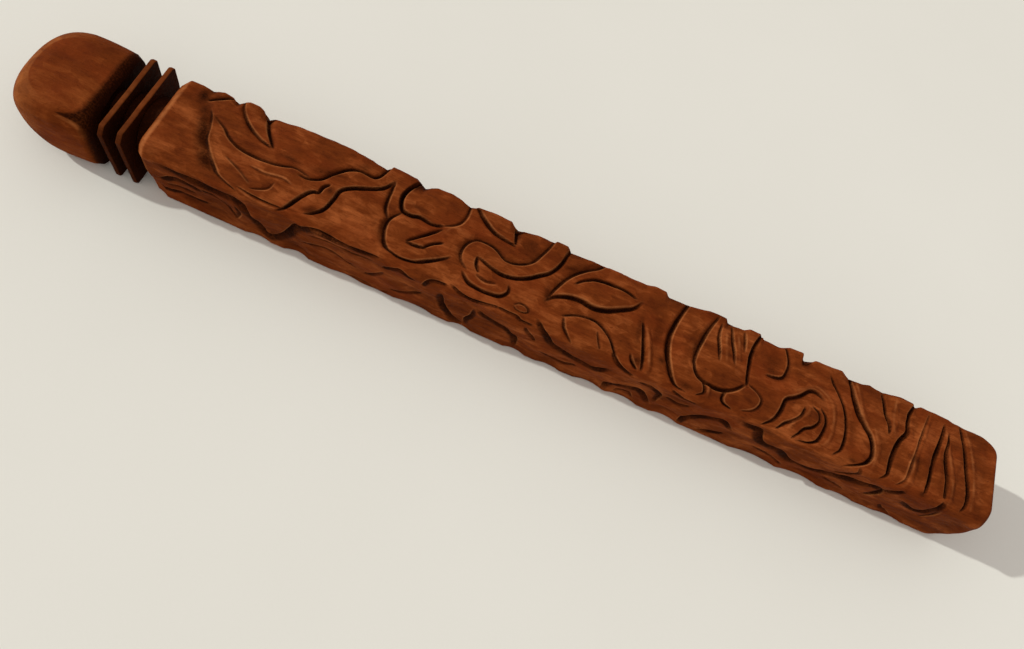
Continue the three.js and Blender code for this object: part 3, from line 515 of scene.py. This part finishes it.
def rolling(x, s, size, height):
    """Low smooth unevenness of a hand-worked surface."""
    out = np.zeros((len(x), len(s)))
    for _ in range(int(len(x) * len(s) * STEP * STEP / (size * size) * 1.2)):
        centre = (rng.uniform(x[0], x[-1]), rng.uniform(s[0], s[-1]))
        swell(out, x, s, rng.normal(0, height), size * rng.uniform(0.7, 1.6), size * 0.6, 0, centre)
    return out


def shaft_depths(x, s):
    """Depth below the stock, in mm, over the sheet. s runs from the bottom front edge round to the back."""
    carved, groove_stain_and_shade, rim = (np.zeros((len(x), len(s))) for _ in range(3))
    for depth, left, right, spread, points in all_cuts():
        cut((carved, groove_stain_and_shade, rim), x, s, depth, left, right, spread, points)
    # Painted shade patches in the top face's recesses and notches.
    for strength, half_length, half_width, turn, centre in TOP_SHADE_PATCHES:
        patch = np.zeros_like(groove_stain_and_shade)
        swell(patch, x, s, -strength, half_length, half_width, turn, top(*centre))
        groove_stain_and_shade = np.maximum(groove_stain_and_shade, patch)
    ground = GROUND + rolling(x, s, 9, 0.2)
    ground += rolling(x, s, 6, 0.3) * unit(-s / 4.0)
    for height, half_length, half_width, turn, centre in TOP_SWELLS:
        swell(ground, x, s, height, half_length, half_width, turn, top(*centre))
    for height, half_width, points in TOP_RIDGES:
        ridge(ground, rim, x, s, height, half_width, [top(*p) for p in points])
    edge = np.array(BACK_EDGE)
    inset = np.interp(x, edge[:, 0], edge[:, 1]) - 0.1
    near = unit(1 - np.abs(s - WIDTH) / BACK_EDGE_REACH) ** 1.5
    ground = ground * (1 - near) + inset[:, None] * near
    whole = carved + ground + tool_marks(x, s, TOOL_STROKES, STROKE_DEPTH)
    softened = blurred(whole, 1, 1) * 0.55 + whole * 0.45
    worked = unit((x - SHOULDER) / PLAIN_LENGTH)[:, None]
    return np.maximum(softened * (0.35 + 0.65 * worked), -CROWN), groove_stain_and_shade, rim


# ---- shaft mesh

# Edge radii in the sheet's order: top front, top back, bottom back and bottom front.
EDGE_RADII = (5.0, 1.5, 2.4, 1.3)
TAIL_CORNER_RADIUS = 9.0
TAIL_EDGE_RADIUS = 2.0
TENON_RADII = (7.5, 9.0, 10.5, 12.0)
FIT = 0.3
CAP_RINGS = 30
# The shoulder is cut back by this much at its end, over this length, and its cut gets a painted highlight.
SHOULDER_CUT = 1.9
SHOULDER_LENGTH = 2.8
# The same for the extra cut on the shoulder's back corner.
CORNER_CUT = 1.6
CORNER_LENGTH = 9.0
# The carving runs out over these lengths at the foot and at the tail.
FOOT_REACH = 4.5
TAIL_REACH = 5.0


def stock_section(around, front_inset, back_inset, top_inset):
    """Points and outward directions of the rounded box section at sheet distances around, in mm."""
    around = np.mod(around, GIRTH)
    corners = np.array([0, WIDTH, WIDTH + HEIGHT, 2 * WIDTH + HEIGHT, GIRTH])
    side = np.clip(np.searchsorted(corners, around, side="right") - 1, 0, 3)
    y, z, out_y, out_z = (np.zeros_like(around) for _ in range(4))
    half_z = HEIGHT / 2
    starts = [(-HALF_WIDTH, half_z, 1, 0), (HALF_WIDTH, half_z, 0, -1), (HALF_WIDTH, -half_z, -1, 0),
              (-HALF_WIDTH, -half_z, 0, 1)]
    for number, (start_y, start_z, step_y, step_z) in enumerate(starts):
        here = side == number
        length = corners[number + 1] - corners[number]
        first, last = EDGE_RADII[number], EDGE_RADII[(number + 1) % 4]
        t = around[here] - corners[number]
        turn = np.where(t < first, t / first - 1, np.where(length - t < last, 1 - (length - t) / last, 0.0))
        turn *= math.pi / 4
        radius = np.where(t < length / 2, first, last)
        centre = np.clip(t, first, length - last)
        face_y, face_z = -step_z, step_y
        out_y[here] = face_y * np.cos(turn) + step_y * np.sin(turn)
        out_z[here] = face_z * np.cos(turn) + step_z * np.sin(turn)
        y[here] = start_y + step_y * centre + radius * (out_y[here] - face_y)
        z[here] = start_z + step_z * centre + radius * (out_z[here] - face_z)
    side_inset = np.where(y < 0, front_inset, back_inset)
    return y * (1 - side_inset / HALF_WIDTH), z * (1 - top_inset / half_z), out_y, out_z


def height_share(around):
    """The height of a sheet point: -1 on the bottom face, 0 at half height and 1 on the top face."""
    _, z, _, _ = stock_section(around, 0.0, 0.0, 0.0)
    return z / (HEIGHT / 2)


def quarter_round(to_end, radius):
    """How far a quarter-round edge stands in, at a distance from the end that it leads to."""
    share = unit(1 - to_end / radius)
    return radius * (1 - np.sqrt(1 - share * share))


def ring_faces(rows, sides, wrap_rows=False):
    """Quads between rows of points that each close on themselves."""
    i, j = np.meshgrid(np.arange(rows if wrap_rows else rows - 1), np.arange(sides), indexing="ij")
    row, next_row, next_j = i * sides, (i + 1) % rows * sides, (j + 1) % sides
    quads = np.stack([row + j, row + next_j, next_row + next_j, next_row + j], axis=-1)
    return quads.reshape(-1, 4).tolist()


def capped_faces(rows, sides):
    """The same quads, and one face over each end."""
    last = (rows - 1) * sides
    return ring_faces(rows, sides) + [list(range(sides - 1, -1, -1)), list(range(last, last + sides))]


def point_row(x, y, z):
    """A row of points from their coordinates, any of which may be one number."""
    return np.stack(np.broadcast_arrays(x, y, z), axis=1)


def placed(name, data):
    """A new object in the scene."""
    thing = bpy.data.objects.new(name, data)
    bpy.context.scene.collection.objects.link(thing)
    return thing


def make_mesh(name, vertices, faces, stain_and_shade, painted_shade, wear_and_highlight):
    """A smooth object from points in mm, with three values at each point that its wood reads."""
    mesh = bpy.data.meshes.new(name)
    mesh.from_pydata(vertices * MM, [], faces)
    mesh.validate()
    mesh.shade_smooth()
    for label, values in (("stain_and_shade", stain_and_shade), ("painted_shade", painted_shade), ("wear_and_highlight", wear_and_highlight)):
        layer = mesh.attributes.new(label, "FLOAT", "POINT")
        layer.data.foreach_set("value", np.asarray(values, np.float32).ravel())
    return placed(name, mesh)


def tenon_rows(out_y, out_z):
    """Rings of the stepped tenon from its pin to the shaft's shoulder, on the section's own directions."""
    size = np.hypot(out_y, out_z)
    ends = (shaft_low.x, head_high.x + FIT * MM, front_high.x + FIT * MM, rear_high.x + FIT * MM,
            (SHEET_ZERO + SHOULDER) * MM)
    rows = []
    for radius, start, end in zip(TENON_RADII, ends[:-1], ends[1:]):
        for x in np.linspace(start, end, 4):
            rows.append(point_row(x / MM, radius * out_y / size, radius * out_z / size + HEIGHT / 2))
    return rows


def build_shaft():
    """The carved faces as one fine grid, with a coarser plain underside, the rounded butt and the tenon."""
    x = np.arange(SHOULDER, TAIL - TAIL_CORNER_RADIUS, STEP)
    angles = np.linspace(0, math.pi / 2, CAP_RINGS)
    x = np.concatenate([x, TAIL - TAIL_CORNER_RADIUS * (1 - np.sin(angles))])
    carved_round = np.arange(-HEIGHT, WIDTH + HEIGHT, STEP)
    plain_round = np.arange(WIDTH + HEIGHT, 2 * WIDTH + HEIGHT, 1.0)
    around = np.concatenate([carved_round, plain_round])
    sides = len(around)
    depth = np.full((len(x), sides), 0.05)
    groove_stain_and_shade, rim = np.zeros_like(depth), np.zeros_like(depth)
    to_foot = np.minimum(carved_round + HEIGHT, WIDTH + HEIGHT - carved_round)
    foot_fade = np.clip(to_foot / FOOT_REACH, 0.12, 1) ** 0.8
    tail_fade = np.clip((TAIL - x) / TAIL_REACH, 0.1, 1)[:, None]
    carved, carved_stain_and_shade, carved_rim = shaft_depths(x, carved_round)
    depth[:, : len(carved_round)] += carved * foot_fade
    depth *= tail_fade
    groove_stain_and_shade[:, : len(carved_round)] = carved_stain_and_shade * foot_fade * tail_fade
    rim[:, : len(carved_round)] = carved_rim * foot_fade * tail_fade
    past_shoulder = x - SHOULDER
    shoulder = SHOULDER_CUT * unit(1 - past_shoulder / SHOULDER_LENGTH) ** 1.1
    back_inset = shoulder + quarter_round(TAIL - x, TAIL_CORNER_RADIUS)
    back_inset += CORNER_CUT * unit(1 - past_shoulder / CORNER_LENGTH) ** 2
    top_inset = shoulder + quarter_round(TAIL - x, TAIL_EDGE_RADIUS)
    level = height_share(around)
    tail_corner = 2.8 + 5.0 * level ** 2
    low_down = unit((-level - 0.1) / 0.8)
    scallop = np.zeros_like(x)
    for along, half_length, deep in FOOT_SCALLOPS:
        scallop = np.maximum(scallop, deep * unit(1 - ((x - along) / half_length) ** 2))
    rows = []
    for i in range(len(x)):
        front_inset = shoulder[i] + quarter_round(TAIL - x[i], tail_corner) + scallop[i] * low_down
        y, z, out_y, out_z = stock_section(around, front_inset, back_inset[i], top_inset[i])
        rows.append(point_row(x[i] + SHEET_ZERO, y - out_y * depth[i], z - out_z * depth[i] + HEIGHT / 2))
    first = rows[0]
    neck = tenon_rows(first[:, 1], first[:, 2] - HEIGHT / 2)
    none = np.zeros((len(neck), sides))
    # Painted shade: darker where the surface lies lower than its surroundings.
    below_around = depth - blurred(depth, 16)
    # A painted highlight on the shoulder's cut.
    chamfer = unit(1 - np.abs(past_shoulder - 1.5) / 1.3) ** 0.5 * 0.75
    # The tenon, seen only in the slots between the plates, is painted fully dark as painted shade.
    stain_and_shade = np.concatenate([none + 1.0, groove_stain_and_shade])
    painted_shade = np.concatenate([none + 1.0, unit(below_around / 1.1 - 0.08)])
    wear_and_highlight = np.concatenate([none, np.maximum(rim, chamfer[:, None])])
    rows = neck + rows
    faces = capped_faces(len(rows), sides)
    return make_mesh("shaft_carving", np.concatenate(rows), faces, stain_and_shade, painted_shade, wear_and_highlight)


shaft_piece = build_shaft()
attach(shaft_piece, "root")
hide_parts("shaft")

# ---- head and collars

# How much is cut off each collar corner, counted from the back top one round over the front.
COLLAR_CUTS = (1.1, 2.6, 0.9, 1.0)
COLLAR_EDGE = 0.35
COLLAR_SIDES = 360


def wobble(angle, seed, amount, waves=9):
    """A smooth closed unevenness around an outline."""
    source = np.random.default_rng(seed)
    out = np.zeros_like(angle)
    for number in range(2, 2 + waves):
        out += source.normal(0, 1) * np.cos(number * angle + source.uniform(0, 6.3)) / number
    return amount * out


def collar_profile(thickness):
    """A plate's section from the bore round the rim and back: (share of the way out, across, inset)."""
    arc = [step / 4 * math.pi / 2 for step in range(5)]
    drop = [COLLAR_EDGE * (1 - math.cos(a)) for a in arc]
    left = [COLLAR_EDGE * (1 - math.sin(a)) for a in arc]
    rows = [(share, 0.0, COLLAR_EDGE) for share in (0.0, 0.25, 0.5, 0.75, 1.0)]
    rows += [(1.0, across, inset) for across, inset in zip(drop[1:], left[1:])]
    rows += [(1.0, COLLAR_EDGE + (thickness - 2 * COLLAR_EDGE) * step / 4, 0.0) for step in (1, 2, 3)]
    rows += [(1.0, thickness - across, inset) for across, inset in zip(left, drop)]
    return rows + [(share, thickness, COLLAR_EDGE) for share in (0.75, 0.5, 0.25, 0.0)]


def build_collar(name, low, high, bore_radius, seed):
    """A thin square plate with cut corners, worn edges and a round bore. Its rims get a painted highlight
    that gives way to painted shade in front, and its faces are painted dark as painted shade.
    """
    angle = (np.arange(COLLAR_SIDES) + 0.5) / COLLAR_SIDES * 2 * math.pi
    half_y, half_z = (high.y - low.y) / 2 / MM, (high.z - low.z) / 2 / MM
    cos, sin = np.cos(angle), np.sin(angle)
    flat = np.minimum(half_y / np.maximum(abs(cos), 1e-9), half_z / np.maximum(abs(sin), 1e-9))
    cuts = np.array(COLLAR_CUTS)[(angle // (math.pi / 2)).astype(int)]
    corner = (half_y + half_z - cuts) / (abs(cos) + abs(sin))
    outer = np.minimum(flat, corner) + np.minimum(wobble(angle, seed, 0.20), 0.05) - 0.07
    lean = wobble(angle, seed + 5, 0.12, 4)
    start, end = low.x / MM, high.x / MM
    profile = collar_profile((high.x - low.x) / MM)
    rows = []
    for share, across, inset in profile:
        radius = bore_radius + (outer - inset - bore_radius) * share
        x = np.clip(start + across + lean * share, start, end)
        rows.append(point_row(x, radius * cos, radius * sin + half_z + low.z / MM))
    faces = [face[::-1] for face in ring_faces(len(rows), COLLAR_SIDES, wrap_rows=True)]
    on_rim = np.array([share == 1.0 and inset < COLLAR_EDGE * 0.9 for share, _, inset in profile])[:, None]
    # Painted shade on the rim's front, painted highlight on the rest of it, and painted shade over both
    # faces.
    in_front = unit(-cos * 1.6 - sin * 0.7 - 0.3)
    wear_and_highlight = np.where(on_rim, 0.4 * (1 - in_front), 0.0)
    stain_and_shade = np.where(on_rim, 0.12 + 0.5 * in_front, 0.95)
    return make_mesh(name, np.concatenate(rows), faces, stain_and_shade, np.zeros_like(wear_and_highlight), wear_and_highlight)


# How far the painted shade on the head's rear bevel reaches from the collar, at angles round from the back
# over the top.
HEAD_SHADE = [
    (0, 3.2), (45, 3.2), (90, 3.4), (105, 3.9), (118, 5.4), (126, 8.0), (131, 11.0), (135, 9.0), (140, 5.6),
    (146, 3.4), (152, 2.4), (170, 1.4), (190, 1.4), (240, 1.4), (300, 2.0), (360, 3.2),
]

# The head's outline from its tip, as the length that it is rounded over and the power of its curve.
SIDE_DOME = (25.0, 3.1)
UPPER_DOME = (14.2, 2.45)
LOWER_DOME = (21.4, 1.75)
HEAD_BORE = 18.0
HEAD_SIDES = 300
HEAD_RINGS = 100


def head_shade(degrees, to_end):
    """How deep in the painted shade of the rear bevel a point of the head lies, from 0 to 1."""
    table = np.array(HEAD_SHADE)
    return unit((np.interp(degrees, table[:, 0], table[:, 1]) - to_end) / 1.8 + 0.5)


def dome(x, depth, power):
    """Share of the full size at a distance from the tip of a rounded end."""
    from_edge = max(0.0, 1 - x / depth)
    return max(0.02, (1 - from_edge**power) ** (1 / power))


def build_head():
    """A domed block: flat on top, rounder below, drawn in towards the collars, with a blind bore."""
    angle = (np.arange(HEAD_SIDES) + 0.5) / HEAD_SIDES * 2 * math.pi
    cos, sin = np.cos(angle), np.sin(angle)
    upper = sin > 0
    start, length = head_low.x / MM, (head_high.x - head_low.x) / MM
    half_y, half_z = (head_high.y - head_low.y) / 2 / MM, (head_high.z - head_low.z) / 2 / MM
    crown_half_width = (half_y - 6.0) * 1.02
    facets = wobble(angle, 3, 0.10, 12)
    rows, tip_highlight = [], []
    for share in np.linspace(0.0, 1.0, HEAD_RINGS) ** 1.5:
        x = share * length
        to_end = length - x
        squareness = 2.1 + 3.0 * min(1.0, x / 16.0)
        dent = facets * min(1.0, x / 6.0) - 0.05
        # the rear draws in towards the collars, more in front and above than behind and below
        waist = 1.8 * max(0.0, 1 - to_end / 13.0) ** 2 + 1.1 * max(0.0, 2.6 - to_end)
        pull = np.where(cos < 0, 0.9 + 0.6 * unit(sin) - 0.9 * unit(-sin), 0.35)
        lift = np.where(upper, waist * (0.9 - 0.7 * cos), waist * 0.1)
        half_height = half_z * np.where(upper, dome(x, *UPPER_DOME), dome(x, *LOWER_DOME))
        half_width = half_y * dome(x, *SIDE_DOME)
        y = np.sign(cos) * abs(cos) ** (2 / squareness) * (half_width - waist * pull + dent)
        z = np.sign(sin) * abs(sin) ** (2 / squareness) * (half_height - lift + dent)
        # the hollow crease on the front upper corner
        crease = np.exp(-((cos + 0.72) / 0.16) ** 2) * upper * unit((13.0 - to_end) / 13.0)
        y += 2.6 * crease
        z -= 1.6 * crease
        # the bevel round the flat of the crown, with a painted highlight towards the tip
        inwards = np.clip((24.0 - x) / 17.0, 0, None)
        ring = (inwards ** 2.4 + (np.abs(y) / crown_half_width) ** 2.4) ** (1 / 2.4)
        z -= np.where(upper, 1.1 * np.clip(ring - 1, 0, 0.4), 0.0)
        tip_highlight.append(unit((ring - 0.99) / 0.03) * unit((18.0 - x) / 9.0) * (z > -2))
        rows.append(point_row(start + x, y, z + half_z + head_low.z / MM))
    bore = TENON_RADII[0] + FIT
    bore_rings = ((length, bore + 3), (length, bore), (length - HEAD_BORE, bore), (length - HEAD_BORE, 0.5))
    for x, radius in bore_rings:
        rows.append(point_row(start + x, radius * cos, radius * sin + HEIGHT / 2))
        tip_highlight.append(np.zeros(HEAD_SIDES))
    vertices = np.concatenate(rows)
    to_end = length - (vertices[:, 0] - start)
    degrees = np.tile(np.degrees(angle), len(rows))
    # Painted shade at the rear end, where the head meets the collar.
    stain_and_shade = unit((2.0 - to_end) / 1.2) * 0.97
    shade = head_shade(degrees, to_end)
    # A painted highlight along the ridge beside the bevel's painted shade.
    ridge_highlight = unit(head_shade(degrees - 7, to_end) - shade) * ((degrees > 136) & (degrees < 200))
    wear_and_highlight = np.concatenate(tip_highlight) * 0.55 + ridge_highlight * 0.7
    faces = capped_faces(len(rows), HEAD_SIDES)
    return make_mesh("head_knob", vertices, faces, stain_and_shade, shade * 1.4, wear_and_highlight)


rear_piece = build_collar("collar_rear_plate", rear_low, rear_high, TENON_RADII[2] + FIT, 21)
front_piece = build_collar("collar_front_plate", front_low, front_high, TENON_RADII[1] + FIT, 34)
head_piece = build_head()
for piece, node, slot in ((rear_piece, "collar_rear", "collar_wood"),
                          (front_piece, "collar_front", "collar_wood"),
                          (head_piece, "head", "head_wood")):
    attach(piece, "root")
    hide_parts(node)

# ---- wood


class Nodes:
    """Short calls for building one material's node tree."""

    def __init__(self, name):
        self.material = bpy.data.materials.new(name)
        self.material.use_nodes = True
        self.tree = self.material.node_tree
        self.tree.nodes.clear()

    def feed(self, socket, value):
        if isinstance(value, (int, float, tuple)):
            socket.default_value = value
        else:
            self.tree.links.new(value, socket)

    def add(self, kind, inputs=(), **settings):
        node = self.tree.nodes.new(kind)
        for key, value in settings.items():
            setattr(node, key, value)
        for key, value in inputs:
            self.feed(node.inputs[key], value)
        return node

    def mapped(self, coords, scale, shift=(0, 0, 0)):
        inputs = (("Scale", scale), ("Location", shift), ("Vector", coords))
        return self.add("ShaderNodeMapping", inputs).outputs["Vector"]

    def noise(self, coords, scale, detail=4.0, rough=0.55, distortion=0.0, output="Fac"):
        inputs = (("Scale", scale), ("Detail", detail), ("Roughness", rough), ("Distortion", distortion),
                  ("Vector", coords))
        return self.add("ShaderNodeTexNoise", inputs).outputs[output]

    def ramp(self, value, stops):
        node = self.add("ShaderNodeValToRGB", (("Fac", value),))
        elements = node.color_ramp.elements
        elements.remove(elements[1])
        elements[0].position, elements[0].color = stops[0]
        for place, colour in stops[1:]:
            elements.new(place).color = colour
        return node.outputs["Color"]

    def spread(self, value, low, high, to_low=0.0, to_high=1.0):
        inputs = (("From Min", low), ("From Max", high), ("To Min", to_low), ("To Max", to_high),
                  ("Value", value))
        return self.add("ShaderNodeMapRange", inputs).outputs["Result"]

    def math(self, operation, a, b):
        return self.add("ShaderNodeMath", ((0, a), (1, b)), operation=operation).outputs["Value"]

    def weighted(self, *terms):
        """The sum of (value, weight) pairs."""
        total = None
        for value, weight in terms:
            part = self.math("MULTIPLY", value, weight)
            total = part if total is None else self.math("ADD", total, part)
        return total

    def mix(self, factor, a, b):
        inputs = ((0, factor), (6, a), (7, b))
        return self.add("ShaderNodeMix", inputs, data_type="RGBA", clamp_factor=True).outputs[2]

    def attribute(self, name):
        return self.add("ShaderNodeAttribute", attribute_name=name).outputs["Fac"]

    def bump(self, height, strength, distance):
        inputs = (("Strength", strength), ("Distance", distance), ("Height", height))
        return self.add("ShaderNodeBump", inputs).outputs["Normal"]

    def finish(self, colour, roughness, normal, specular):
        inputs = (("Base Color", colour), ("Roughness", roughness), ("Normal", normal),
                  ("Specular IOR Level", specular))
        shader = self.add("ShaderNodeBsdfPrincipled", inputs)
        self.add("ShaderNodeOutputMaterial", (("Surface", shader.outputs["BSDF"]),))
        return self.material


# The dark of the pores, also used for the stain and the painted shade in cuts, hollows and slots.
PORE_STAIN_AND_SHADE = (0.0150, 0.0032, 0.0007, 1)
RED_HEART = (0.175, 0.026, 0.0045, 1)


def wood(name, dark, middle, light, worn_and_highlight, shift):
    """Oiled hardwood with its grain along X, dark in the cuts with stain and painted shade, and lighter on
    the high edges with wear and painted highlight.
    """
    n = Nodes(name)
    place = n.add("ShaderNodeTexCoord").outputs["Object"]

    def grain(scale, detail, rough, distortion=0.0, moved=shift):
        return n.noise(n.mapped(place, scale, moved), 1.0, detail, rough, distortion)

    broad = grain((30, 80, 80), 3.0, 0.55, 0.8)
    streak = grain((70, 620, 620), 5.0, 0.62, 0.4)
    fine = grain((260, 2600, 2600), 4.0, 0.6)
    blotch = grain((120, 190, 190), 5.0, 0.65, 0.5, (3, 1, 2))
    redness = grain((45, 70, 70), 3.0, 0.5, 0.0, (6, 2, 9))
    pores = grain((420, 3900, 3900), 2.0, 0.5, 0.0, (7, 3, 5))
    speckle = grain((1100, 1700, 1700), 3.0, 0.6, 0.0, (2, 8, 4))
    wander = n.add("ShaderNodeVectorMath", (
        (0, n.noise(place, 160.0, 2.0, 0.5, output="Color")), (1, (0.9, 0.9, 0.9)),
        (2, n.mapped(place, (150, 300, 300), shift))), operation="MULTIPLY_ADD")
    inputs = (("Scale", 1.0), ("Vector", wander.outputs["Vector"]))
    facet = n.add("ShaderNodeTexVoronoi", inputs, feature="F1")
    facet_tone = n.spread(facet.outputs["Color"], 0, 1, -0.05, 0.05)
    tone = n.weighted((broad, 0.4), (streak, 0.25), (blotch, 0.35), (facet_tone, 1.0))
    body = n.ramp(tone, [(0.37, dark), (0.5, middle), (0.66, light)])
    body = n.mix(n.spread(redness, 0.45, 0.7, 0.0, 0.45), body, RED_HEART)
    body = n.mix(n.spread(fine, 0.4, 0.7, 0.0, 0.30), body, dark)
    body = n.mix(n.spread(pores, 0.60, 0.72, 0.0, 0.45), body, PORE_STAIN_AND_SHADE)
    # Lighter on the high edges: part wear, part painted highlight.
    edge = n.math("MULTIPLY", n.attribute("wear_and_highlight"), n.spread(blotch, 0.35, 0.6, 0.35, 1.0))
    body = n.mix(n.math("MULTIPLY", edge, 0.78), body, worn_and_highlight)
    broken = n.spread(speckle, 0.35, 0.6, 0.74, 1.12)
    # Painted shade in low places, on the tenon and on the head's rear bevel.
    body = n.mix(n.math("MULTIPLY", n.math("MULTIPLY", n.attribute("painted_shade"), 0.62), broken), body, PORE_STAIN_AND_SHADE)
    # Dark of the cuts, part stain and part painted shade, and painted shade on the tenon, the plates and the
    # head's rear end.
    cut_stain_and_shade = n.math("MULTIPLY", n.attribute("stain_and_shade"), broken)
    body = n.mix(n.math("MINIMUM", cut_stain_and_shade, 0.93), body, PORE_STAIN_AND_SHADE)
    relief = n.weighted((fine, 0.5), (pores, -0.4), (speckle, 0.8), (facet.outputs["Distance"], 1.1))
    return n.finish(body, n.spread(streak, 0.3, 0.7, 0.56, 0.72), n.bump(relief, 0.7, 0.0003), 0.015)


shaft_wood = wood("oiled_shaft_wood", (0.086, 0.0160, 0.0030, 1), (0.156, 0.0320, 0.0055, 1),
                  (0.340, 0.088, 0.0210, 1), (0.46, 0.155, 0.046, 1), (0, 0, 0))
head_wood = wood("oiled_head_wood", (0.094, 0.0175, 0.0030, 1), (0.154, 0.031, 0.0050, 1),
                 (0.270, 0.068, 0.0140, 1), (0.38, 0.125, 0.032, 1), (4, 2, 1))
# A darker copy of the wood for the plates: painted shade.
collar_wood = wood("oiled_collar_wood", (0.060, 0.012, 0.0024, 1), (0.100, 0.020, 0.0036, 1),
                   (0.150, 0.032, 0.0058, 1), (0.29, 0.085, 0.020, 1), (1, 5, 3))
for piece, node, material in ((shaft_piece, "shaft", shaft_wood), (rear_piece, "collar_rear", collar_wood),
                              (front_piece, "collar_front", collar_wood), (head_piece, "head", head_wood)):
    piece.data.materials.append(material)
    piece.data.set_sharp_from_angle(angle=math.radians(60))
    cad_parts[node].data.materials.clear()
    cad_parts[node].data.materials.append(material)

# ---- surroundings


def build_floor():
    """A plain pale sheet, three metres each way."""
    mesh = bpy.data.meshes.new("floor")
    reach = 3.0
    mesh.from_pydata([(-reach, -reach, 0), (reach, -reach, 0), (reach, reach, 0), (-reach, reach, 0)], [],
                     [(0, 1, 2, 3)])
    floor = placed("floor", mesh)
    n = Nodes("pale_paper")
    place = n.add("ShaderNodeTexCoord").outputs["Object"]
    cloud = n.noise(n.mapped(place, (6, 6, 6)), 1.0, 3.0)
    colour = n.ramp(cloud, [(0.3, (0.745, 0.725, 0.648, 1)), (0.7, (0.765, 0.745, 0.668, 1))])
    tooth = n.noise(n.mapped(place, (900, 900, 900)), 1.0, 3.0)
    rough = n.spread(cloud, 0, 1, 0.8, 0.9)
    mesh.materials.append(n.finish(colour, rough, n.bump(tooth, 0.15, 0.0002), 0.2))


def build_camera():
    """The view as three turns of the stick seen from above, and where the sheet's zero then lies."""
    roll, yaw, tilt = (math.radians(a) for a in (24.066, 2.592, -24.638))
    base = Matrix(((1, 0, 0), (0, -1, 0), (0, 0, -1)))
    turn = (Matrix.Rotation(roll, 3, "Z") @ Matrix.Rotation(-yaw, 3, "Y") @ base
            @ Matrix.Rotation(tilt, 3, "X"))
    zero_seen = Vector((-142.55, -71.30, 296.34))
    location = (turn.transposed() @ -zero_seen) * MM + Vector((SHEET_ZERO * MM, 0, 0))
    axes = Matrix((turn[0], -turn[1], -turn[2])).transposed()
    data = bpy.data.cameras.new("camera")
    data.sensor_width = 36.0
    data.lens = 26.8
    data.clip_start = 0.01
    camera = placed("camera", data)
    camera.matrix_world = Matrix.Translation(location) @ axes.to_4x4()
    bpy.context.scene.camera = camera


def build_sun(azimuth, elevation, angle, strength, colour):
    """The key light. Azimuth is measured from +X towards +Y."""
    a, e = math.radians(azimuth), math.radians(elevation)
    away = Vector((math.cos(a) * math.cos(e), math.sin(a) * math.cos(e), math.sin(e)))
    data = bpy.data.lights.new("key", "SUN")
    data.angle = math.radians(angle)
    data.energy = strength
    data.color = colour
    light = placed("key", data)
    light.rotation_mode = "QUATERNION"
    light.rotation_quaternion = away.to_track_quat("Z", "Y")


def build_world():
    world = bpy.data.worlds.new("studio")
    world.use_nodes = True
    background = world.node_tree.nodes["Background"]
    background.inputs["Color"].default_value = (1.0, 0.955, 0.95, 1)
    background.inputs["Strength"].default_value = 0.66
    bpy.context.scene.world = world


build_floor()
build_camera()
build_sun(177.3, 33, 1.4, 2.05, (0.97, 1.0, 0.98))
build_world()
bpy.context.scene.view_settings.view_transform = "Standard"
